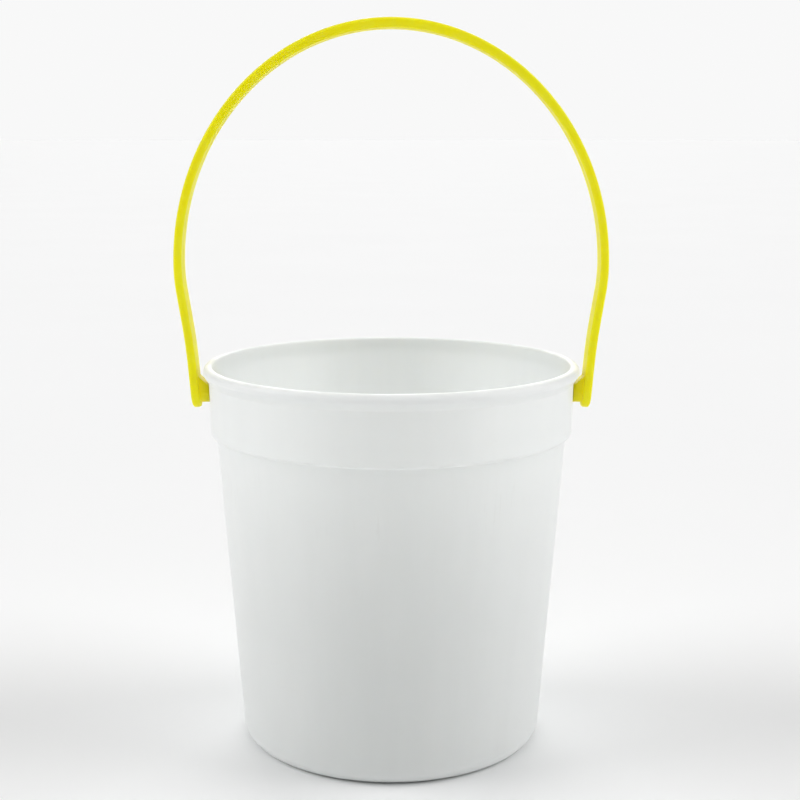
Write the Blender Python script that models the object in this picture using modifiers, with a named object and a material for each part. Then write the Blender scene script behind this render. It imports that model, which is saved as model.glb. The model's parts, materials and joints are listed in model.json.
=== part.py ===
"""A small beach pail: one moulded pail body, and one moulded bail handle that snaps into its collar.

Units are metres and +Z is up. The origin is the centre of the base, on the surface where the pail
stands. The handle turns about a line parallel to X through the two collar holes, and stands upright here.
"""

import bmesh
import bpy
import numpy as np
from mathutils import Matrix, Vector

# Pail body, measured on its outside
RIM_RADIUS = 0.0762
PAIL_HEIGHT = 0.1563
BEAD_WIDEST_Z = 0.1529
BEAD_FOOT_Z = 0.1498
COLLAR_TOP_RADIUS = 0.07395
COLLAR_FOOT_RADIUS = 0.07345
STEP_Z = 0.1282
BODY_TOP_RADIUS = 0.07115
BODY_FOOT_RADIUS = 0.06155
BASE_CORNER = 0.0059
FOOT_RING_INNER_RADIUS = 0.0530
FOOT_RING_HEIGHT = 0.0012
WALL = 0.0014
BASE_THICKNESS = 0.0016

# Corner radii round the pail's section
INNER_STEP_FILLET = 0.0013
INNER_STEP_CORNER = 0.0004
RIM_INNER_FILLET = 0.0011
RIM_OUTER_FILLET = 0.0025
BEAD_CORNER = 0.0009
BEAD_FOOT_FILLET = 0.0008
COLLAR_CORNER = 0.0015
STEP_FILLET = 0.0003
FOOT_RING_FILLET = 0.0004

# Handle strap
PIVOT_Z = 0.14375
STRAP_WIDTH = 0.0120
STRAP_EDGE = 0.0011
LEG_THICKNESS = 0.0034
CROWN_THICKNESS = 0.0041
ARCH_HALF_WIDTH = 0.0871
ARCH_CENTRE_Z = 0.1960
HANDLE_TOP_Z = 0.2926
WAIST_BEND_RADIUS = 0.0680
LEG_SPLAY = np.radians(8.7)
LEG_STRAIGHT_DROP = 0.0133
FOOT_SPLAY = np.radians(4.5)
FOOT_BEND_DROP = 0.0170

# Bosses, gussets and snap studs on the handle, and the holes that they turn in
HOLE_RADIUS = 0.0030
STUD_RADIUS = 0.0026
BOSS_RADIUS = 0.00385
BOSS_FACE_X = 0.0742
HEAD_BACK_X = 0.0716
HEAD_TIP_X = 0.0676
HEAD_RADIUS = 0.0036
HEAD_TIP_RADIUS = 0.0022
HEAD_CHAMFER = 0.0012
HEAD_SLOT_WIDTH = 0.0010
HEAD_SLOT_DEPTH = 0.0058
GUSSET_SLOPE = np.radians(40.5)
GUSSET_WIDTH = 0.0072
GUSSET_FILLET = 0.0015
GUSSET_SETBACK = 0.0002
GUSSET_ROOT = 0.0004

# Smoothness
PAIL_STEPS = 64
PIN_STEPS = 32
END_STEPS = 12
ARCH_STEPS = 40
BEND_STEPS = 4
ARC_STEP = np.radians(22.5)


def clear_scene():
    for obj in list(bpy.data.objects):
        bpy.data.objects.remove(obj, do_unlink=True)


def new_collection(name):
    collection = bpy.data.collections.new(name)
    bpy.context.scene.collection.children.link(collection)
    return collection


def plastic(name, colour, roughness):
    material = bpy.data.materials.new(name)
    material.use_nodes = True
    shader = material.node_tree.nodes["Principled BSDF"]
    shader.inputs["Base Color"].default_value = (*colour, 1.0)
    shader.inputs["Roughness"].default_value = roughness
    shader.inputs["Metallic"].default_value = 0.0
    return material


def boolean(obj, other, operation):
    """Adds a Boolean of obj with other, which then only serves as a cutter or a blank."""
    modifier = obj.modifiers.new(other.name, "BOOLEAN")
    modifier.operation = operation
    modifier.solver = "EXACT"
    modifier.object = other
    other.hide_render = True
    other.display_type = "WIRE"


def rounded_path(corners):
    """The points of a line through (across, up, fillet) corners, with each corner rounded to its fillet."""
    path = []
    for i, (across, up, fillet) in enumerate(corners):
        corner = Vector((across, up))
        if fillet == 0:
            path.append(corner)
            continue
        before = (Vector(corners[i - 1][:2]) - corner).normalized()
        after = (Vector(corners[i + 1][:2]) - corner).normalized()
        half_angle = before.angle(after) / 2
        centre = corner + (before + after).normalized() * fillet / np.sin(half_angle)
        start = corner + before * fillet / np.tan(half_angle) - centre
        end = corner + after * fillet / np.tan(half_angle) - centre
        turn = np.arctan2(start.x * end.y - start.y * end.x, start.dot(end))
        steps = max(1, int(np.ceil(abs(turn) / ARC_STEP)))
        for k in range(steps + 1):
            path.append(centre + Matrix.Rotation(turn * k / steps, 2) @ start)
    return path


def turned(name, path, steps, collection):
    """A solid turned about its own Z from a line of (radius, z) that starts and ends on the axis."""
    mesh = bpy.data.meshes.new(name)
    points = [(point.x, 0.0, point.y) for point in path]
    mesh.from_pydata(points, [(i, i + 1) for i in range(len(points) - 1)], [])
    obj = bpy.data.objects.new(name, mesh)
    collection.objects.link(obj)
    screw = obj.modifiers.new("Turn", "SCREW")
    screw.steps = steps
    screw.render_steps = steps
    screw.use_merge_vertices = True
    screw.merge_threshold = 0.00001
    return obj


# The pail body


def wall_radius(z):
    """The outside radius of the tapering wall at height z."""
    return BODY_FOOT_RADIUS + (BODY_TOP_RADIUS - BODY_FOOT_RADIUS) * z / STEP_Z


def collar_radius(z):
    """The outside radius of the collar band at height z."""
    share = (z - STEP_Z) / (BEAD_FOOT_Z - STEP_Z)
    return COLLAR_FOOT_RADIUS + (COLLAR_TOP_RADIUS - COLLAR_FOOT_RADIUS) * share


def pail_profile():
    """From the middle of the floor up the inside, over the rim's bead, and down the outside to the base."""
    floor_z = FOOT_RING_HEIGHT + BASE_THICKNESS
    inner_step_z = STEP_Z + WALL
    inside = [
        (0.0, floor_z, 0),
        (wall_radius(floor_z) - WALL, floor_z, BASE_CORNER - WALL),
        (wall_radius(inner_step_z) - WALL, inner_step_z, INNER_STEP_FILLET),
        (collar_radius(inner_step_z) - WALL, inner_step_z, INNER_STEP_CORNER),
        (COLLAR_TOP_RADIUS - WALL, PAIL_HEIGHT, RIM_INNER_FILLET),
    ]
    outside = [
        (RIM_RADIUS, PAIL_HEIGHT, RIM_OUTER_FILLET),
        (RIM_RADIUS, BEAD_WIDEST_Z, BEAD_CORNER),
        (COLLAR_TOP_RADIUS, BEAD_FOOT_Z, BEAD_FOOT_FILLET),
        (COLLAR_FOOT_RADIUS, STEP_Z, COLLAR_CORNER),
        (BODY_TOP_RADIUS, STEP_Z, STEP_FILLET),
        (BODY_FOOT_RADIUS, 0.0, BASE_CORNER),
        (FOOT_RING_INNER_RADIUS, 0.0, FOOT_RING_FILLET),
        (FOOT_RING_INNER_RADIUS - FOOT_RING_HEIGHT, FOOT_RING_HEIGHT, FOOT_RING_FILLET),
        (0.0, FOOT_RING_HEIGHT, 0),
    ]
    return rounded_path(inside + outside)


def pivot_drill(collection):
    """A long cylinder along the pivot line, for both collar holes at once."""
    mesh = bpy.data.meshes.new("pivot_drill")
    drill = bmesh.new()
    bmesh.ops.create_cone(
        drill,
        cap_ends=True,
        segments=PIN_STEPS,
        radius1=HOLE_RADIUS,
        radius2=HOLE_RADIUS,
        depth=3 * RIM_RADIUS,
    )
    drill.to_mesh(mesh)
    drill.free()
    obj = bpy.data.objects.new("pivot_drill", mesh)
    collection.objects.link(obj)
    obj.location.z = PIVOT_Z
    obj.rotation_euler.y = np.pi / 2
    return obj


def make_pail(parts, helpers):
    pail = turned("pail_body", pail_profile(), PAIL_STEPS, parts)
    pail.data.materials.append(plastic("white_plastic", (0.86, 0.89, 0.88), 0.28))
    boolean(pail, pivot_drill(helpers), "DIFFERENCE")
    return pail


# The handle


def leg_middle_line():
    """The strap's middle from the crown down the +X leg to the pivot: (point, outward normal, thickness).

    The crown is a quarter of an ellipse. Below it the strap bends inwards at the waist, runs straight, and
    bends part of the way back before it meets the pivot.
    """
    half_width = ARCH_HALF_WIDTH - LEG_THICKNESS / 2
    half_height = HANDLE_TOP_Z - CROWN_THICKNESS / 2 - ARCH_CENTRE_Z
    line = []
    for angle in np.linspace(0, np.pi / 2, ARCH_STEPS // 2 + 1):
        point = Vector((half_width * np.sin(angle), ARCH_CENTRE_Z + half_height * np.cos(angle)))
        normal = Vector((half_height * np.sin(angle), half_width * np.cos(angle))).normalized()
        thickness = LEG_THICKNESS + (CROWN_THICKNESS - LEG_THICKNESS) * np.cos(angle) ** 2
        line.append((point, normal, thickness))

    def descend(drop, first_splay, last_splay, steps):
        for k in range(steps):
            splay = first_splay + (last_splay - first_splay) * (k + 0.5) / steps
            point = line[-1][0] - Vector((np.tan(splay), 1.0)) * drop / steps
            end_splay = first_splay + (last_splay - first_splay) * (k + 1) / steps
            line.append((point, Vector((np.cos(end_splay), -np.sin(end_splay))), LEG_THICKNESS))

    descend(WAIST_BEND_RADIUS * np.sin(LEG_SPLAY), 0.0, LEG_SPLAY, BEND_STEPS)
    descend(LEG_STRAIGHT_DROP, LEG_SPLAY, LEG_SPLAY, 1)
    descend(FOOT_BEND_DROP, LEG_SPLAY, FOOT_SPLAY, BEND_STEPS)
    descend(line[-1][0].y - PIVOT_Z, FOOT_SPLAY, FOOT_SPLAY, 1)
    return line


def strap_mesh():
    """The bent strap, with square edges and a round end about each pivot."""
    right = leg_middle_line()
    left = [(Vector((-p.x, p.y)), Vector((-n.x, n.y)), t) for p, n, t in right[1:]]
    line = left[::-1] + right
    strap = bmesh.new()

    def column(point, normal, thickness, y):
        outer = point + normal * thickness / 2
        inner = point - normal * thickness / 2
        return strap.verts.new((outer.x, y, outer.y)), strap.verts.new((inner.x, y, inner.y))

    front = [column(*station, -STRAP_WIDTH / 2) for station in line]
    back = [column(*station, STRAP_WIDTH / 2) for station in line]

    def round_end(station):
        """Columns round the end, from the front edge to the back edge."""
        point, normal, thickness = station
        down = Vector((normal.y, -normal.x)) if normal.x > 0 else Vector((-normal.y, normal.x))
        columns = []
        for angle in np.linspace(-np.pi / 2, np.pi / 2, END_STEPS + 1)[1:-1]:
            reach = down * np.cos(angle) * STRAP_WIDTH / 2
            columns.append(column(point + reach, normal, thickness, np.sin(angle) * STRAP_WIDTH / 2))
        return columns

    for i in range(len(line) - 1):
        for side in (0, 1):
            strap.faces.new((front[i][side], front[i + 1][side], back[i + 1][side], back[i][side]))
        strap.faces.new((front[i][0], front[i + 1][0], front[i + 1][1], front[i][1]))
        strap.faces.new((back[i][0], back[i + 1][0], back[i + 1][1], back[i][1]))
    for i in (0, len(line) - 1):
        rim = [front[i], *round_end(line[i]), back[i]]
        for side in (0, 1):
            strap.faces.new([column_verts[side] for column_verts in rim])
        for a, b in zip(rim, rim[1:]):
            strap.faces.new((a[0], b[0], b[1], a[1]))
    bmesh.ops.recalc_face_normals(strap, faces=strap.faces)
    mesh = bpy.data.meshes.new("bail_handle")
    strap.to_mesh(mesh)
    strap.free()
    return mesh


def pivot_pin(name, side, collection):
    """Boss, stud and snap head in one, turned about the pivot line and slotted so that the head can close."""
    root_x = leg_middle_line()[-1][0].x
    path = rounded_path(
        [
            (0.0, root_x - HEAD_TIP_X, 0),
            (HEAD_TIP_RADIUS, root_x - HEAD_TIP_X, 0),
            (HEAD_RADIUS, root_x - HEAD_BACK_X + HEAD_CHAMFER, 0),
            (HEAD_RADIUS, root_x - HEAD_BACK_X, 0),
            (STUD_RADIUS, root_x - HEAD_BACK_X, 0),
            (STUD_RADIUS, root_x - BOSS_FACE_X, 0),
            (BOSS_RADIUS, root_x - BOSS_FACE_X, 0),
            (BOSS_RADIUS, 0.0, 0),
            (0.0, 0.0, 0),
        ]
    )
    pin = turned(name, path, PIN_STEPS, collection)
    pin.location = (side * root_x, 0.0, PIVOT_Z)
    pin.rotation_euler.y = -side * np.pi / 2
    slot = bpy.data.meshes.new(name + "_slot")
    blade = bmesh.new()
    size = (2 * HEAD_SLOT_DEPTH, HEAD_SLOT_WIDTH, 4 * HEAD_RADIUS, 1.0)
    bmesh.ops.create_cube(blade, size=1.0, matrix=Matrix.Diagonal(size))
    blade.to_mesh(slot)
    blade.free()
    cutter = bpy.data.objects.new(name + "_slot", slot)
    collection.objects.link(cutter)
    cutter.location = (side * HEAD_TIP_X, 0.0, PIVOT_Z)
    boolean(pin, cutter, "DIFFERENCE")
    return pin


def gusset(name, side, collection):
    """The web above a boss: it slopes up from the boss's inner end and curves into the strap."""
    root_x = leg_middle_line()[-1][0].x
    inner_x = BOSS_FACE_X + GUSSET_SETBACK
    foot_z = PIVOT_Z + BOSS_RADIUS - GUSSET_SETBACK
    strap_x = root_x - LEG_THICKNESS / 2 + GUSSET_ROOT
    corner_z = foot_z + (strap_x - inner_x) * np.tan(GUSSET_SLOPE)
    top_z = corner_z + 2 * GUSSET_FILLET
    outline = rounded_path(
        [
            (inner_x, foot_z, 0),
            (strap_x, corner_z, GUSSET_FILLET),
            (strap_x + (top_z - corner_z) * np.tan(FOOT_SPLAY), top_z, 0),
            (root_x + 2 * GUSSET_ROOT, top_z, 0),
            (root_x + GUSSET_ROOT, PIVOT_Z, 0),
            (inner_x, PIVOT_Z, 0),
        ]
    )
    curve = bpy.data.curves.new(name, "CURVE")
    curve.dimensions = "2D"
    curve.fill_mode = "BOTH"
    curve.extrude = GUSSET_WIDTH / 2
    spline = curve.splines.new("POLY")
    spline.points.add(len(outline) - 1)
    for point, corner in zip(spline.points, outline):
        point.co = (side * corner.x, corner.y, 0.0, 1.0)
    spline.use_cyclic_u = True
    drawn = bpy.data.objects.new(name + "_outline", curve)
    collection.objects.link(drawn)
    drawn.rotation_euler.x = np.pi / 2
    bpy.context.view_layer.update()
    mesh = bpy.data.meshes.new_from_object(drawn.evaluated_get(bpy.context.evaluated_depsgraph_get()))
    web = bmesh.new()
    web.from_mesh(mesh)
    bmesh.ops.remove_doubles(web, verts=web.verts, dist=0.00001)
    bmesh.ops.recalc_face_normals(web, faces=web.faces)
    web.to_mesh(mesh)
    web.free()
    obj = bpy.data.objects.new(name, mesh)
    collection.objects.link(obj)
    obj.matrix_world = drawn.matrix_world.copy()
    bpy.data.objects.remove(drawn, do_unlink=True)
    return obj


def make_handle(parts, helpers):
    mesh = strap_mesh()
    mesh.transform(Matrix.Translation((0, 0, -PIVOT_Z)))
    handle = bpy.data.objects.new("bail_handle", mesh)
    parts.objects.link(handle)
    handle.location.z = PIVOT_Z
    handle.data.materials.append(plastic("yellow_plastic", (0.87, 0.80, 0.02), 0.32))
    edges = handle.modifiers.new("Rounded edges", "BEVEL")
    edges.width = STRAP_EDGE
    edges.segments = 3
    edges.limit_method = "ANGLE"
    edges.angle_limit = np.radians(60)
    for label, side in (("left", -1), ("right", 1)):
        boolean(handle, pivot_pin(label + "_pin", side, helpers), "UNION")
        boolean(handle, gusset(label + "_gusset", side, helpers), "UNION")
    return handle


def main():
    clear_scene()
    parts = new_collection("beach_pail")
    helpers = new_collection("cutters_and_blanks")
    for obj in (make_pail(parts, helpers), make_handle(parts, helpers)):
        obj.data.shade_smooth()
        obj.data.set_sharp_from_angle(angle=np.radians(35))


main()
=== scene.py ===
"""The looks of a small beach pail: a turned white shell and a yellow strap handle that snaps into it.

Lengths are in metres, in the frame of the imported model. The pail stands on Z = 0, and the handle turns about
a line parallel to X through the two collar holes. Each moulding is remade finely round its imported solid.
"""

import json

import bmesh
import bpy
import numpy as np
from mathutils import Matrix, Vector


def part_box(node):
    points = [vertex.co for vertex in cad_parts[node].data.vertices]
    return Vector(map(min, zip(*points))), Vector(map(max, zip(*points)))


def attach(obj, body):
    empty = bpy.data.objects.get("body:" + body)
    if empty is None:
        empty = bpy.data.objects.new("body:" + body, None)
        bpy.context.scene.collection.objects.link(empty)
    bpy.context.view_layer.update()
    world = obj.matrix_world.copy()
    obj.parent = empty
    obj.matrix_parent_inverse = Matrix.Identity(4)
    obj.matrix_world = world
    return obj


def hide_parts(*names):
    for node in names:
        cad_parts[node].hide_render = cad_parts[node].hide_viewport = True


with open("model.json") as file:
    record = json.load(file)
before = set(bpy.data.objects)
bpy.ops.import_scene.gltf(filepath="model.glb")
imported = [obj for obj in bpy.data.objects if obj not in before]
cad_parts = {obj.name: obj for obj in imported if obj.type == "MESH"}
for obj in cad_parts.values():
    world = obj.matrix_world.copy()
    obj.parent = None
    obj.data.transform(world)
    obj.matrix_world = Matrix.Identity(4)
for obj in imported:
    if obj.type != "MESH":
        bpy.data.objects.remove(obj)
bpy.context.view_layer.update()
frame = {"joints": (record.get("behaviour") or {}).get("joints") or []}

# Measures of the frame
PAIL_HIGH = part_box("pail_body")[1]
HANDLE_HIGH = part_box("bail_handle")[1]
PIVOT_Z = frame["joints"][0]["pos_m"][2]
RIM_RADIUS = PAIL_HIGH.x
PAIL_HEIGHT = PAIL_HIGH.z
HANDLE_TOP_Z = HANDLE_HIGH.z
ARCH_HALF_WIDTH = HANDLE_HIGH.x

# Pail body, measured on its outside
BEAD_WIDEST_Z = 0.1529
BEAD_FOOT_Z = 0.1498
COLLAR_TOP_RADIUS = 0.07395
COLLAR_FOOT_RADIUS = 0.07345
STEP_Z = 0.1282
BODY_TOP_RADIUS = 0.07115
BODY_FOOT_RADIUS = 0.06155
BASE_CORNER = 0.0059
FOOT_RING_INNER_RADIUS = 0.0530
FOOT_RING_HEIGHT = 0.0012
WALL = 0.0014
BASE_THICKNESS = 0.0016

# Corner radii round the pail's section
INNER_STEP_FILLET = 0.0013
INNER_STEP_CORNER = 0.0004
RIM_INNER_FILLET = 0.0011
RIM_OUTER_FILLET = 0.0025
BEAD_CORNER = 0.0009
BEAD_FOOT_FILLET = 0.0008
COLLAR_CORNER = 0.0015
STEP_FILLET = 0.0003
FOOT_RING_FILLET = 0.0004

# The moulding's gate in the middle of the underside: a shallow dish with the cut stub in it
GATE_DISH_RADIUS = 0.0042
GATE_DISH_DEPTH = 0.0004
GATE_STUB_RADIUS = 0.0011
GATE_STUB_HEIGHT = 0.0003
GATE_FILLET = 0.0002

# Handle strap
STRAP_WIDTH = 0.0120
STRAP_EDGE = 0.0011
LEG_THICKNESS = 0.0034
CROWN_THICKNESS = 0.0041
ARCH_CENTRE_Z = 0.1960
WAIST_BEND_RADIUS = 0.0680
LEG_SPLAY = np.radians(8.7)
LEG_STRAIGHT_DROP = 0.0133
FOOT_SPLAY = np.radians(4.5)
FOOT_BEND_DROP = 0.0170
PARTING_RIDGE = 0.0001

# Bosses, gussets and snap studs on the handle, and the holes that they turn in
HOLE_RADIUS = 0.0030
STUD_RADIUS = 0.0026
STUD_FILLET = 0.0002
BOSS_RADIUS = 0.00385
BOSS_EDGE = 0.0002
BOSS_ROOT_FILLET = 0.0006
BOSS_FACE_X = 0.0742
HEAD_BACK_X = 0.0716
HEAD_TIP_X = 0.0676
HEAD_RADIUS = 0.0036
HEAD_TIP_RADIUS = 0.0022
HEAD_CHAMFER = 0.0012
HEAD_EDGE = 0.0003
HEAD_SLOT_WIDTH = 0.0010
HEAD_SLOT_DEPTH = 0.0058
GUSSET_SLOPE = np.radians(40.5)
GUSSET_WIDTH = 0.0072
GUSSET_FILLET = 0.0015
GUSSET_SETBACK = 0.0002
GUSSET_ROOT = 0.0004
GUSSET_EDGE = 0.0003

# Smoothness
PAIL_STEPS = 256
PIN_STEPS = 72
END_STEPS = 72
ARCH_STEPS = 160
BEND_STEPS = 14
STRAP_EDGE_SEGMENTS = 6
GUSSET_EDGE_SEGMENTS = 3
FLOOR_STEPS = 96
ARC_STEP = np.radians(7.5)
ROUNDED_FROM_ANGLE = np.radians(60)
SHARP_FROM_ANGLE = np.radians(40)
MERGE_DISTANCE = 0.00001

# Colours, linear
NEUTRAL = (1.0, 1.0, 1.0)
WHITE = (0.905, 0.945, 0.935)
SCUFFED_WHITE = (0.74, 0.755, 0.735)
YELLOW = (0.99, 0.83, 0.004)
FLOW_YELLOW = (0.96, 0.76, 0.004)
WORN_YELLOW = (0.92, 0.86, 0.09)

# Noises of the two plastics: scale per metre, and one for each axis where the marks are drawn out
WHITE_CLOUDS = 22.0
WHITE_WAVES = 34.0
WHITE_RUBS = 90.0
WHITE_PEEL = 450.0
WHITE_STREAKS = (150.0, 150.0, 9.0)
WHITE_SCUFFS = (700.0, 700.0, 22.0)
YELLOW_CLOUDS = 38.0
YELLOW_WAVES = 60.0
YELLOW_RUBS = 220.0
YELLOW_PEEL = 320.0
YELLOW_FLOW = (60.0, 240.0, 60.0)
YELLOW_NICKS = (220.0, 700.0, 220.0)

# Noise values between which a mark goes from none to full
CLOUD_RANGE = (0.25, 0.75)
STREAK_RANGE = (0.30, 0.75)
SCUFF_RANGE = (0.60, 0.72)
SCUFF_PATCH_RANGE = (0.40, 0.60)
WHITE_RUB_RANGE = (0.35, 0.70)
YELLOW_RUB_RANGE = (0.50, 0.66)
NICK_RANGE = (0.63, 0.72)

# Where the mouldings are worn: a band of nesting scuffs below the step, the rim's crest, the collar's lower
# corner, the base corner and the strap's front and back edges
SCUFF_BAND_Z = STEP_Z - 0.018
SCUFF_BAND_REACH = 0.020
CREST_WEAR_Z = (PAIL_HEIGHT - 0.0016, PAIL_HEIGHT - 0.0002)
CORNER_WEAR_Z = STEP_Z + 0.0006
CORNER_WEAR_REACH = 0.0012
CORNER_WEAR_RADII = (0.0726, 0.0732)
BASE_WEAR_Z = (0.0028, 0.0002)
STRAP_WEAR_Y = (STRAP_WIDTH / 2 - 0.0010, STRAP_WIDTH / 2 - 0.0001)

# How strongly wear shows: its share of full wear, of the worn colour, and its added roughness
SCUFF_SHARE = 0.6
STRAP_RUB_SHARE = 0.7
NICK_SHARE = 0.5
WHITE_WORN_TINT = 0.35
YELLOW_WORN_TINT = 0.22
WHITE_WORN_ROUGHNESS = 0.16
YELLOW_WORN_ROUGHNESS = 0.15

# Shades, roughness and relief of the sound plastic
WHITE_SHADES = (0.985, 1.01)
YELLOW_SHADES = (0.96, 1.0)
STREAK_SHADE = 0.965
STREAK_TINT = 0.35
FLOW_TINT = 0.5
WHITE_ROUGHNESS = (0.34, 0.42)
YELLOW_ROUGHNESS = (0.36, 0.44)
STREAK_ROUGHNESS = 0.05
WHITE_PEEL_HEIGHT = 0.000006
WHITE_STREAK_HEIGHT = 0.00003
WHITE_WAVE_HEIGHT = 0.00018
SCUFF_DEPTH = 0.00002
YELLOW_PEEL_HEIGHT = 0.000008
YELLOW_FLOW_HEIGHT = 0.00002
YELLOW_WAVE_HEIGHT = 0.00015

# Light in the plastics: what the skin reflects, how much enters, and how far red, green and blue go inside,
# as shares of one reach
POLYPROPYLENE_IOR = 1.49
LIGHT_REACH = 0.008
WHITE_REFLECTION = 0.35
WHITE_TRANSLUCENCY = 0.75
WHITE_REACHES = (0.95, 1.0, 1.0)
YELLOW_REFLECTION = 0.3
YELLOW_TRANSLUCENCY = 1.0
YELLOW_REACHES = (1.0, 0.9, 0.1)

# Studio: the camera's sensor and lens are in millimetres, and its pitch is in radians
CAMERA_PLACE = (0.0, -0.5904, 0.24924)
CAMERA_PITCH = 0.182
CAMERA_SENSOR = 36.0
CAMERA_LENS = 65.91
CAMERA_SHIFT_X = 0.011
CAMERA_NEAR = 0.01
FLOOR_RADIUS = 40.0
FLOOR_SHADES = (0.87, 0.89)
FLOOR_CLOUDS = 3.0
FLOOR_ROUGHNESS = 0.9
FLOOR_REFLECTION = 0.1
ROOM_LIGHT = 0.05
BACKDROP_LIGHT = 0.94

# Far, round soft boxes: azimuth (0 is the camera's side and 90 is +X), elevation and half angle in degrees,
# and radiance
SOFT_BOXES = {
    "left_box": (-88, 34, 20, 3.9),
    "right_box": (88, 34, 20, 3.9),
    "back_box": (180, 22, 24, 3.0),
    "top_box": (0, 90, 45, 0.45),
    "front_box": (0, 42, 25, 0.5),
}


# Shapes shared by both mouldings


def rounded_path(corners):
    """The points of a line through (across, up, fillet) corners, with each corner rounded to its fillet."""
    path = []
    for i, (across, up, fillet) in enumerate(corners):
        corner = Vector((across, up))
        if fillet == 0:
            path.append(corner)
            continue
        before = (Vector(corners[i - 1][:2]) - corner).normalized()
        after = (Vector(corners[i + 1][:2]) - corner).normalized()
        half_angle = before.angle(after) / 2
        centre = corner + (before + after).normalized() * fillet / np.sin(half_angle)
        start = corner + before * fillet / np.tan(half_angle) - centre
        end = corner + after * fillet / np.tan(half_angle) - centre
        turn = np.arctan2(start.x * end.y - start.y * end.x, start.dot(end))
        steps = max(1, int(np.ceil(abs(turn) / ARC_STEP)))
        for k in range(steps + 1):
            path.append(centre + Matrix.Rotation(turn * k / steps, 2) @ start)
    return path


def added(name, mesh):
    obj = bpy.data.objects.new(name, mesh)
    bpy.context.scene.collection.objects.link(obj)
    return obj


def turned(name, path, steps):
    """A solid turned about its own Z from a line of (radius, z) that starts and ends on the axis."""
    mesh = bpy.data.meshes.new(name)
    points = [(point.x, 0.0, point.y) for point in path]
    mesh.from_pydata(points, [(i, i + 1) for i in range(len(points) - 1)], [])
    obj = added(name, mesh)
    screw = obj.modifiers.new("Turn", "SCREW")
    screw.steps = steps
    screw.render_steps = steps
    screw.use_merge_vertices = True
    screw.merge_threshold = MERGE_DISTANCE
    return obj


def boolean(obj, other, operation):
    modifier = obj.modifiers.new(other.name, "BOOLEAN")
    modifier.operation = operation
    modifier.solver = "EXACT"
    modifier.object = other


def round_edges(obj, width, segments):
    edges = obj.modifiers.new("Rounded edges", "BEVEL")
    edges.width = width
    edges.segments = segments
    edges.limit_method = "ANGLE"
    edges.angle_limit = ROUNDED_FROM_ANGLE


def finished(obj, helpers, material, body, node):
    """Makes obj's shape final, removes its helpers, and puts the piece in the place of its CAD node."""
    bpy.context.view_layer.update()
    evaluated = obj.evaluated_get(bpy.context.evaluated_depsgraph_get())
    mesh = bpy.data.meshes.new_from_object(evaluated)
    mesh.transform(obj.matrix_world)
    mesh.name = obj.name
    obj.modifiers.clear()
    obj.data = mesh
    obj.matrix_world = Matrix.Identity(4)
    for helper in helpers:
        bpy.data.objects.remove(helper, do_unlink=True)
    mesh.shade_smooth()
    mesh.set_sharp_from_angle(angle=SHARP_FROM_ANGLE)
    normals = obj.modifiers.new("Flat faces stay flat", "WEIGHTED_NORMAL")
    normals.keep_sharp = True
    mesh.materials.clear()
    mesh.materials.append(material)
    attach(obj, body)
    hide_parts(node)


# The pail body


def wall_radius(z):
    """The outside radius of the tapering wall at height z."""
    return BODY_FOOT_RADIUS + (BODY_TOP_RADIUS - BODY_FOOT_RADIUS) * z / STEP_Z


def collar_radius(z):
    """The outside radius of the collar band at height z."""
    share = (z - STEP_Z) / (BEAD_FOOT_Z - STEP_Z)
    return COLLAR_FOOT_RADIUS + (COLLAR_TOP_RADIUS - COLLAR_FOOT_RADIUS) * share


def pail_profile():
    """From the middle of the floor up the inside, over the rim's bead, and down the outside to the gate."""
    floor_z = FOOT_RING_HEIGHT + BASE_THICKNESS
    inner_step_z = STEP_Z + WALL
    dish_z = FOOT_RING_HEIGHT + GATE_DISH_DEPTH
    stub_z = FOOT_RING_HEIGHT - GATE_STUB_HEIGHT
    inside = [
        (0.0, floor_z, 0),
        (wall_radius(floor_z) - WALL, floor_z, BASE_CORNER - WALL),
        (wall_radius(inner_step_z) - WALL, inner_step_z, INNER_STEP_FILLET),
        (collar_radius(inner_step_z) - WALL, inner_step_z, INNER_STEP_CORNER),
        (COLLAR_TOP_RADIUS - WALL, PAIL_HEIGHT, RIM_INNER_FILLET),
    ]
    outside = [
        (RIM_RADIUS, PAIL_HEIGHT, RIM_OUTER_FILLET),
        (RIM_RADIUS, BEAD_WIDEST_Z, BEAD_CORNER),
        (COLLAR_TOP_RADIUS, BEAD_FOOT_Z, BEAD_FOOT_FILLET),
        (COLLAR_FOOT_RADIUS, STEP_Z, COLLAR_CORNER),
        (BODY_TOP_RADIUS, STEP_Z, STEP_FILLET),
        (BODY_FOOT_RADIUS, 0.0, BASE_CORNER),
        (FOOT_RING_INNER_RADIUS, 0.0, FOOT_RING_FILLET),
        (FOOT_RING_INNER_RADIUS - FOOT_RING_HEIGHT, FOOT_RING_HEIGHT, FOOT_RING_FILLET),
        (GATE_DISH_RADIUS, FOOT_RING_HEIGHT, GATE_FILLET),
        (GATE_DISH_RADIUS - GATE_DISH_DEPTH, dish_z, GATE_FILLET),
        (GATE_STUB_RADIUS, dish_z, GATE_FILLET),
        (GATE_STUB_RADIUS, stub_z, GATE_FILLET),
        (0.0, stub_z, 0),
    ]
    return rounded_path(inside + outside)


def pivot_drill():
    """A long cylinder along the pivot line, for both collar holes at once."""
    mesh = bpy.data.meshes.new("pivot_drill")
    drill = bmesh.new()
    bmesh.ops.create_cone(
        drill,
        cap_ends=True,
        segments=PIN_STEPS,
        radius1=HOLE_RADIUS,
        radius2=HOLE_RADIUS,
        depth=3 * RIM_RADIUS,
    )
    drill.to_mesh(mesh)
    drill.free()
    obj = added("pivot_drill", mesh)
    obj.location.z = PIVOT_Z
    obj.rotation_euler.y = np.pi / 2
    return obj


def make_pail():
    pail = turned("pail_shell", pail_profile(), PAIL_STEPS)
    drill = pivot_drill()
    boolean(pail, drill, "DIFFERENCE")
    finished(pail, [drill], white_plastic(), "pail", "pail_body")


# The handle


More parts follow.
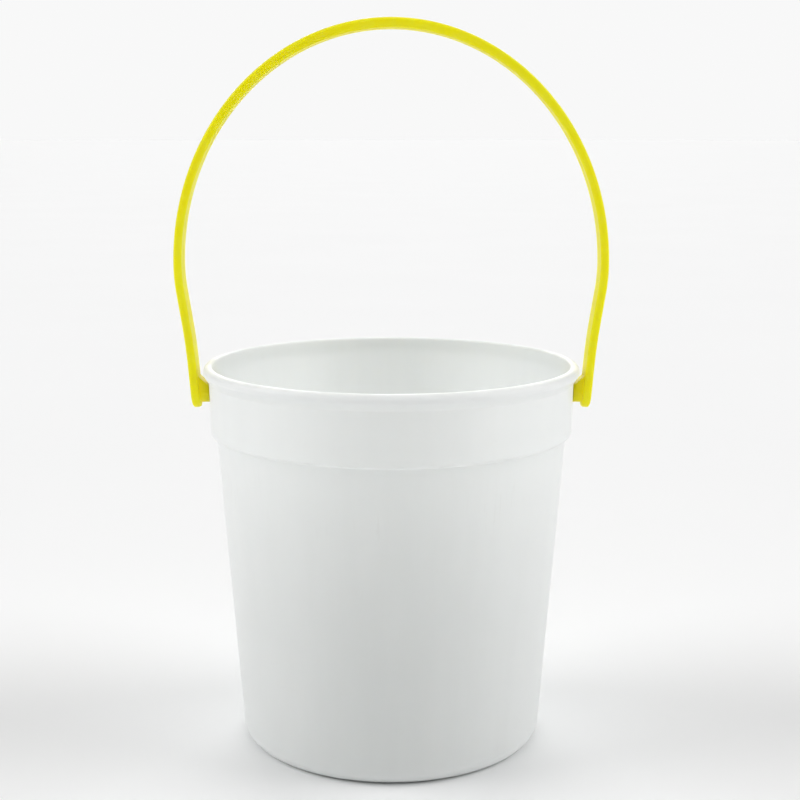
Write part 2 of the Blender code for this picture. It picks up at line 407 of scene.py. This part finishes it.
def leg_middle_line():
    """The strap's middle from the crown down the +X leg to the pivot: (point, outward normal, thickness).

    The crown is a quarter of an ellipse. Below it the strap bends inwards at the waist, runs straight, and
    bends part of the way back before it meets the pivot.
    """
    half_width = ARCH_HALF_WIDTH - LEG_THICKNESS / 2
    half_height = HANDLE_TOP_Z - CROWN_THICKNESS / 2 - ARCH_CENTRE_Z
    line = []
    for angle in np.linspace(0, np.pi / 2, ARCH_STEPS // 2 + 1):
        point = Vector((half_width * np.sin(angle), ARCH_CENTRE_Z + half_height * np.cos(angle)))
        normal = Vector((half_height * np.sin(angle), half_width * np.cos(angle))).normalized()
        thickness = LEG_THICKNESS + (CROWN_THICKNESS - LEG_THICKNESS) * np.cos(angle) ** 2
        line.append((point, normal, thickness))

    def descend(drop, first_splay, last_splay, steps):
        for k in range(steps):
            splay = first_splay + (last_splay - first_splay) * (k + 0.5) / steps
            point = line[-1][0] - Vector((np.tan(splay), 1.0)) * drop / steps
            end_splay = first_splay + (last_splay - first_splay) * (k + 1) / steps
            line.append((point, Vector((np.cos(end_splay), -np.sin(end_splay))), LEG_THICKNESS))

    descend(WAIST_BEND_RADIUS * np.sin(LEG_SPLAY), 0.0, LEG_SPLAY, BEND_STEPS)
    descend(LEG_STRAIGHT_DROP, LEG_SPLAY, LEG_SPLAY, 1)
    descend(FOOT_BEND_DROP, LEG_SPLAY, FOOT_SPLAY, BEND_STEPS)
    descend(line[-1][0].y - PIVOT_Z, FOOT_SPLAY, FOOT_SPLAY, 1)
    return line


def strap_mesh():
    """The bent strap, with square edges, a round end about each pivot, and the mould's fine parting ridge.

    The ridge runs along the middle of the outer and the inner face, where the two halves of the mould met.
    """
    right = leg_middle_line()
    left = [(Vector((-p.x, p.y)), Vector((-n.x, n.y)), t) for p, n, t in right[1:]]
    line = left[::-1] + right
    ridge_half_width = STRAP_WIDTH / 2 * np.sin(np.pi / END_STEPS)
    across = (-STRAP_WIDTH / 2, -ridge_half_width, 0.0, ridge_half_width, STRAP_WIDTH / 2)
    strap = bmesh.new()

    def column(point, normal, thickness, y):
        """The outer and the inner vertex of the strap at y."""
        half = thickness / 2 + (PARTING_RIDGE if abs(y) < ridge_half_width / 2 else 0.0)
        outer = point + normal * half
        inner = point - normal * half
        return strap.verts.new((outer.x, y, outer.y)), strap.verts.new((inner.x, y, inner.y))

    def round_end(station):
        """Columns round the end, between the front and the back edge."""
        point, normal, thickness = station
        down = Vector((normal.y, -normal.x)) if normal.x > 0 else Vector((-normal.y, normal.x))
        columns = []
        for angle in np.linspace(-np.pi / 2, np.pi / 2, END_STEPS + 1)[1:-1]:
            reach = down * np.cos(angle) * STRAP_WIDTH / 2
            columns.append(column(point + reach, normal, thickness, np.sin(angle) * STRAP_WIDTH / 2))
        return columns

    rows = [[column(*station, y) for y in across] for station in line]
    for above, below in zip(rows, rows[1:]):
        for j in range(len(across) - 1):
            for side in (0, 1):
                strap.faces.new((above[j][side], below[j][side], below[j + 1][side], above[j + 1][side]))
        for j in (0, -1):
            strap.faces.new((above[j][0], below[j][0], below[j][1], above[j][1]))
    for row, station in ((rows[0], line[0]), (rows[-1], line[-1])):
        arc = round_end(station)
        middle = len(arc) // 2
        for side in (0, 1):
            front_half = [row[0], *arc[:middle], row[1]]
            back_half = [row[3], *arc[middle + 1 :], row[4]]
            strap.faces.new([columns[side] for columns in front_half])
            strap.faces.new([columns[side] for columns in back_half])
            strap.faces.new((row[1][side], arc[middle - 1][side], arc[middle][side], row[2][side]))
            strap.faces.new((row[2][side], arc[middle][side], arc[middle + 1][side], row[3][side]))
        rim = [row[0], *arc, row[4]]
        for a, b in zip(rim, rim[1:]):
            strap.faces.new((a[0], b[0], b[1], a[1]))
    bmesh.ops.recalc_face_normals(strap, faces=strap.faces)
    mesh = bpy.data.meshes.new("handle_strap")
    strap.to_mesh(mesh)
    strap.free()
    return mesh


def pivot_pin(name, side):
    """Boss, stud and head in one, turned about the pivot line and slotted so that the head can close."""
    root_x = leg_middle_line()[-1][0].x
    strap_face = LEG_THICKNESS / 2
    path = rounded_path(
        [
            (0.0, root_x - HEAD_TIP_X, 0),
            (HEAD_TIP_RADIUS, root_x - HEAD_TIP_X, HEAD_EDGE),
            (HEAD_RADIUS, root_x - HEAD_BACK_X + HEAD_CHAMFER, HEAD_EDGE),
            (HEAD_RADIUS, root_x - HEAD_BACK_X, HEAD_EDGE),
            (STUD_RADIUS, root_x - HEAD_BACK_X, STUD_FILLET),
            (STUD_RADIUS, root_x - BOSS_FACE_X, STUD_FILLET),
            (BOSS_RADIUS, root_x - BOSS_FACE_X, BOSS_EDGE),
            (BOSS_RADIUS, strap_face, BOSS_ROOT_FILLET),
            (BOSS_RADIUS + 2 * BOSS_ROOT_FILLET, strap_face - BOSS_ROOT_FILLET / 4, 0),
            (BOSS_RADIUS, 0.0, 0),
            (0.0, 0.0, 0),
        ]
    )
    pin = turned(name, path, PIN_STEPS)
    pin.location = (side * root_x, 0.0, PIVOT_Z)
    pin.rotation_euler.y = -side * np.pi / 2
    slot = bpy.data.meshes.new(name + "_slot")
    blade = bmesh.new()
    size = (2 * HEAD_SLOT_DEPTH, HEAD_SLOT_WIDTH, 4 * HEAD_RADIUS, 1.0)
    bmesh.ops.create_cube(blade, size=1.0, matrix=Matrix.Diagonal(size))
    blade.to_mesh(slot)
    blade.free()
    cutter = added(name + "_slot", slot)
    cutter.location = (side * HEAD_TIP_X, 0.0, PIVOT_Z)
    boolean(pin, cutter, "DIFFERENCE")
    return pin, cutter


def gusset(name, side):
    """The web above a boss: it slopes up from the boss's inner end and curves into the strap."""
    root_x = leg_middle_line()[-1][0].x
    inner_x = BOSS_FACE_X + GUSSET_SETBACK
    foot_z = PIVOT_Z + BOSS_RADIUS - GUSSET_SETBACK
    strap_x = root_x - LEG_THICKNESS / 2 + GUSSET_ROOT
    corner_z = foot_z + (strap_x - inner_x) * np.tan(GUSSET_SLOPE)
    top_z = corner_z + 2 * GUSSET_FILLET
    outline = rounded_path(
        [
            (inner_x, foot_z, 0),
            (strap_x, corner_z, GUSSET_FILLET),
            (strap_x + (top_z - corner_z) * np.tan(FOOT_SPLAY), top_z, 0),
            (root_x + 2 * GUSSET_ROOT, top_z, 0),
            (root_x + GUSSET_ROOT, PIVOT_Z, 0),
            (inner_x, PIVOT_Z, 0),
        ]
    )
    web = bmesh.new()
    front = [web.verts.new((side * point.x, -GUSSET_WIDTH / 2, point.y)) for point in outline]
    web.faces.new(front)
    swept = bmesh.ops.extrude_face_region(web, geom=web.faces[:])
    moved = [item for item in swept["geom"] if isinstance(item, bmesh.types.BMVert)]
    bmesh.ops.translate(web, verts=moved, vec=(0.0, GUSSET_WIDTH, 0.0))
    bmesh.ops.recalc_face_normals(web, faces=web.faces)
    mesh = bpy.data.meshes.new(name)
    web.to_mesh(mesh)
    web.free()
    obj = added(name, mesh)
    round_edges(obj, GUSSET_EDGE, GUSSET_EDGE_SEGMENTS)
    return obj


def make_handle():
    handle = added("handle_strap", strap_mesh())
    round_edges(handle, STRAP_EDGE, STRAP_EDGE_SEGMENTS)
    helpers = []
    for label, side in (("left", -1), ("right", 1)):
        pin, cutter = pivot_pin(label + "_pin", side)
        web = gusset(label + "_gusset", side)
        boolean(handle, pin, "UNION")
        boolean(handle, web, "UNION")
        helpers += [pin, cutter, web]
    finished(handle, helpers, yellow_plastic(), "handle", "bail_handle")


# Materials


class Finish:
    """A Principled material under construction.

    Its helpers return output sockets, and take sockets or numbers.
    """

    def __init__(self, name):
        self.material = bpy.data.materials.new(name)
        self.material.use_nodes = True
        self.nodes = self.material.node_tree.nodes
        self.links = self.material.node_tree.links
        self.shader = self.nodes["Principled BSDF"]
        self.place = self.nodes.new("ShaderNodeTexCoord").outputs["Object"]

    def feed(self, socket, value):
        if isinstance(value, bpy.types.NodeSocket):
            self.links.new(value, socket)
        else:
            socket.default_value = value

    def math(self, operation, first, second=0.0):
        node = self.nodes.new("ShaderNodeMath")
        node.operation = operation
        for socket, value in zip(node.inputs, (first, second)):
            self.feed(socket, value)
        return node.outputs[0]

    def sum(self, first, second):
        return self.math("ADD", first, second)

    def product(self, first, second):
        return self.math("MULTIPLY", first, second)

    def larger(self, first, second):
        return self.math("MAXIMUM", first, second)

    def ramp(self, value, low, high, to_low=0.0, to_high=1.0):
        """value from low to high, spread smoothly over to_low to to_high and held beyond them."""
        node = self.nodes.new("ShaderNodeMapRange")
        node.interpolation_type = "SMOOTHSTEP"
        self.feed(node.inputs["Value"], value)
        self.feed(node.inputs["From Min"], low)
        self.feed(node.inputs["From Max"], high)
        self.feed(node.inputs["To Min"], to_low)
        self.feed(node.inputs["To Max"], to_high)
        return node.outputs[0]

    def near(self, value, middle, reach):
        """1 where value is at middle, falling smoothly to 0 at reach from it."""
        away = self.math("ABSOLUTE", self.math("SUBTRACT", value, middle))
        return self.ramp(away, 0.0, reach, 1.0, 0.0)

    def stretched(self, scale):
        """The place on the object, with each axis multiplied by its own scale."""
        node = self.nodes.new("ShaderNodeMapping")
        node.vector_type = "POINT"
        node.inputs["Scale"].default_value = scale
        self.links.new(self.place, node.inputs["Vector"])
        return node.outputs[0]

    def noise(self, scale, detail=2.0, roughness=0.5, at=None, distortion=0.0):
        node = self.nodes.new("ShaderNodeTexNoise")
        node.inputs["Scale"].default_value = scale
        node.inputs["Detail"].default_value = detail
        node.inputs["Roughness"].default_value = roughness
        node.inputs["Distortion"].default_value = distortion
        self.links.new(at or self.place, node.inputs["Vector"])
        return node.outputs[0]

    def mixed(self, factor, first, second):
        node = self.nodes.new("ShaderNodeMix")
        node.data_type = "RGBA"
        colours = [socket for socket in node.inputs if socket.type == "RGBA"]
        self.feed(node.inputs[0], factor)
        self.feed(colours[0], first)
        self.feed(colours[1], second)
        return [socket for socket in node.outputs if socket.type == "RGBA"][0]

    def bump(self, height, distance, over=None):
        node = self.nodes.new("ShaderNodeBump")
        node.inputs["Distance"].default_value = distance
        self.links.new(height, node.inputs["Height"])
        if over is not None:
            self.links.new(over, node.inputs["Normal"])
        return node.outputs[0]

    def x_y_z(self):
        node = self.nodes.new("ShaderNodeSeparateXYZ")
        self.links.new(self.place, node.inputs[0])
        return node.outputs

    def moulded(self, colour, roughness, normal):
        """Gives the shader its colour, roughness and relief, and what both plastics share."""
        self.feed(self.shader.inputs["Base Color"], colour)
        self.feed(self.shader.inputs["Roughness"], roughness)
        self.feed(self.shader.inputs["Normal"], normal)
        self.shader.inputs["IOR"].default_value = POLYPROPYLENE_IOR
        self.shader.inputs["Subsurface Scale"].default_value = LIGHT_REACH


def tinted(colour, share=1.0):
    """The colour with every channel multiplied by share, as a shader takes it."""
    return (*[channel * share for channel in colour], 1.0)


def pail_scuffs(finish, clouds):
    """Upright scratches in patches, in the band below the step where nested pails rub."""
    z = finish.x_y_z()[2]
    scratches = finish.noise(1.0, roughness=0.65, at=finish.stretched(WHITE_SCUFFS))
    band = finish.near(z, SCUFF_BAND_Z, SCUFF_BAND_REACH)
    patches = finish.product(band, finish.ramp(clouds, *SCUFF_PATCH_RANGE))
    return finish.product(finish.ramp(scratches, *SCUFF_RANGE), patches)


def pail_rubs(finish):
    """Rubbed places on the rim's crest, the collar's lower corner and the base corner."""
    x, y, z = finish.x_y_z()
    radius = finish.math("SQRT", finish.sum(finish.product(x, x), finish.product(y, y)))
    crest = finish.ramp(z, *CREST_WEAR_Z)
    near_corner = finish.near(z, CORNER_WEAR_Z, CORNER_WEAR_REACH)
    corner = finish.product(near_corner, finish.ramp(radius, *CORNER_WEAR_RADII))
    base = finish.ramp(z, *BASE_WEAR_Z)
    edges = finish.larger(crest, finish.larger(corner, base))
    return finish.product(edges, finish.ramp(finish.noise(WHITE_RUBS), *WHITE_RUB_RANGE))


def white_plastic():
    """Moulded polypropylene with flow streaks, nesting scuffs, a faint orange peel and worn edges."""
    finish = Finish("white_plastic")
    clouds = finish.noise(WHITE_CLOUDS, detail=3.0)
    streaks = finish.noise(1.0, detail=3.0, at=finish.stretched(WHITE_STREAKS))
    scuffs = pail_scuffs(finish, clouds)
    worn = finish.larger(pail_rubs(finish), finish.product(scuffs, SCUFF_SHARE))

    dark, light = [tinted(WHITE, shade) for shade in WHITE_SHADES]
    colour = finish.mixed(finish.ramp(clouds, *CLOUD_RANGE), dark, light)
    streak_tint = finish.ramp(streaks, *STREAK_RANGE, 0.0, STREAK_TINT)
    colour = finish.mixed(streak_tint, colour, tinted(WHITE, STREAK_SHADE))
    colour = finish.mixed(finish.product(worn, WHITE_WORN_TINT), colour, tinted(SCUFFED_WHITE))

    roughness = finish.ramp(clouds, *CLOUD_RANGE, *WHITE_ROUGHNESS)
    roughness = finish.sum(roughness, finish.ramp(streaks, *STREAK_RANGE, 0.0, STREAK_ROUGHNESS))
    roughness = finish.sum(roughness, finish.product(worn, WHITE_WORN_ROUGHNESS))

    skin = finish.bump(finish.noise(WHITE_PEEL, detail=0.0), WHITE_PEEL_HEIGHT)
    skin = finish.bump(streaks, WHITE_STREAK_HEIGHT, over=skin)
    skin = finish.bump(finish.noise(WHITE_WAVES), WHITE_WAVE_HEIGHT, over=skin)
    skin = finish.bump(scuffs, -SCUFF_DEPTH, over=skin)

    finish.moulded(colour, roughness, skin)
    finish.shader.inputs["Specular IOR Level"].default_value = WHITE_REFLECTION
    finish.shader.inputs["Subsurface Weight"].default_value = WHITE_TRANSLUCENCY
    finish.shader.inputs["Subsurface Radius"].default_value = WHITE_REACHES
    return finish.material


def strap_wear(finish):
    """Rubbed places along the strap's front and back edges, and small nicks all over it."""
    y = finish.x_y_z()[1]
    edge = finish.ramp(finish.math("ABSOLUTE", y), *STRAP_WEAR_Y)
    rubs = finish.product(edge, finish.ramp(finish.noise(YELLOW_RUBS), *YELLOW_RUB_RANGE))
    nicks = finish.ramp(finish.noise(1.0, at=finish.stretched(YELLOW_NICKS)), *NICK_RANGE)
    return finish.larger(finish.product(rubs, STRAP_RUB_SHARE), finish.product(nicks, NICK_SHARE))


def yellow_plastic():
    """Moulded polypropylene, pigmented through, with flow marks along the strap and rubbed edges."""
    finish = Finish("yellow_plastic")
    clouds = finish.noise(YELLOW_CLOUDS, detail=3.0)
    flow = finish.noise(1.0, detail=1.0, distortion=0.4, at=finish.stretched(YELLOW_FLOW))
    worn = strap_wear(finish)

    dark, light = [tinted(YELLOW, shade) for shade in YELLOW_SHADES]
    colour = finish.mixed(finish.ramp(clouds, *CLOUD_RANGE), dark, light)
    flow_tint = finish.ramp(flow, *STREAK_RANGE, 0.0, FLOW_TINT)
    colour = finish.mixed(flow_tint, colour, tinted(FLOW_YELLOW))
    colour = finish.mixed(finish.product(worn, YELLOW_WORN_TINT), colour, tinted(WORN_YELLOW))

    roughness = finish.ramp(clouds, *CLOUD_RANGE, *YELLOW_ROUGHNESS)
    roughness = finish.sum(roughness, finish.ramp(flow, *STREAK_RANGE, 0.0, STREAK_ROUGHNESS))
    roughness = finish.sum(roughness, finish.product(worn, YELLOW_WORN_ROUGHNESS))

    skin = finish.bump(finish.noise(YELLOW_PEEL, detail=0.0), YELLOW_PEEL_HEIGHT)
    skin = finish.bump(flow, YELLOW_FLOW_HEIGHT, over=skin)
    skin = finish.bump(finish.noise(YELLOW_WAVES), YELLOW_WAVE_HEIGHT, over=skin)

    finish.moulded(colour, roughness, skin)
    finish.shader.inputs["Specular IOR Level"].default_value = YELLOW_REFLECTION
    finish.shader.inputs["Subsurface Weight"].default_value = YELLOW_TRANSLUCENCY
    finish.shader.inputs["Subsurface Radius"].default_value = YELLOW_REACHES
    return finish.material


def pale_floor_finish():
    finish = Finish("pale_floor")
    dark, light = [tinted(NEUTRAL, shade) for shade in FLOOR_SHADES]
    finish.feed(finish.shader.inputs["Base Color"], finish.mixed(finish.noise(FLOOR_CLOUDS), dark, light))
    finish.shader.inputs["Roughness"].default_value = FLOOR_ROUGHNESS
    finish.shader.inputs["Specular IOR Level"].default_value = FLOOR_REFLECTION
    return finish.material


# The studio


def make_floor():
    mesh = bpy.data.meshes.new("floor")
    disc = bmesh.new()
    bmesh.ops.create_circle(disc, cap_ends=True, segments=FLOOR_STEPS, radius=FLOOR_RADIUS)
    disc.to_mesh(mesh)
    disc.free()
    mesh.materials.append(pale_floor_finish())
    added("floor", mesh)


def soft_light(name, azimuth, elevation, half_angle, radiance):
    """A sun lamp that fills the half angle evenly, as a far soft box of this radiance does."""
    lamp = bpy.data.lights.new(name, "SUN")
    lamp.angle = 2 * np.radians(half_angle)
    lamp.energy = radiance * np.pi * np.sin(np.radians(half_angle)) ** 2
    obj = added(name, lamp)
    obj.rotation_euler = (np.radians(90 - elevation), 0.0, np.radians(azimuth))


def make_lights():
    for name, place_and_light in SOFT_BOXES.items():
        soft_light(name, *place_and_light)


def make_room():
    """A dim room that lights the object, and a pale backdrop that only the camera sees."""
    world = bpy.data.worlds.new("pale_room")
    world.use_nodes = True
    nodes = world.node_tree.nodes
    links = world.node_tree.links
    room = nodes["Background"]
    backdrop = nodes.new("ShaderNodeBackground")
    for node, strength in ((room, ROOM_LIGHT), (backdrop, BACKDROP_LIGHT)):
        node.inputs["Color"].default_value = tinted(NEUTRAL)
        node.inputs["Strength"].default_value = strength
    path = nodes.new("ShaderNodeLightPath")
    choice = nodes.new("ShaderNodeMixShader")
    links.new(path.outputs["Is Camera Ray"], choice.inputs[0])
    links.new(room.outputs[0], choice.inputs[1])
    links.new(backdrop.outputs[0], choice.inputs[2])
    links.new(choice.outputs[0], nodes["World Output"].inputs["Surface"])
    bpy.context.scene.world = world


def make_camera():
    lens = bpy.data.cameras.new("camera")
    lens.sensor_width = CAMERA_SENSOR
    lens.lens = CAMERA_LENS
    lens.shift_x = CAMERA_SHIFT_X
    lens.clip_start = CAMERA_NEAR
    camera = added("camera", lens)
    camera.location = CAMERA_PLACE
    camera.rotation_euler = (np.pi / 2 - CAMERA_PITCH, 0.0, 0.0)
    bpy.context.scene.camera = camera
    bpy.context.scene.view_settings.view_transform = "Standard"


make_pail()
make_handle()
make_floor()
make_lights()
make_room()
make_camera()
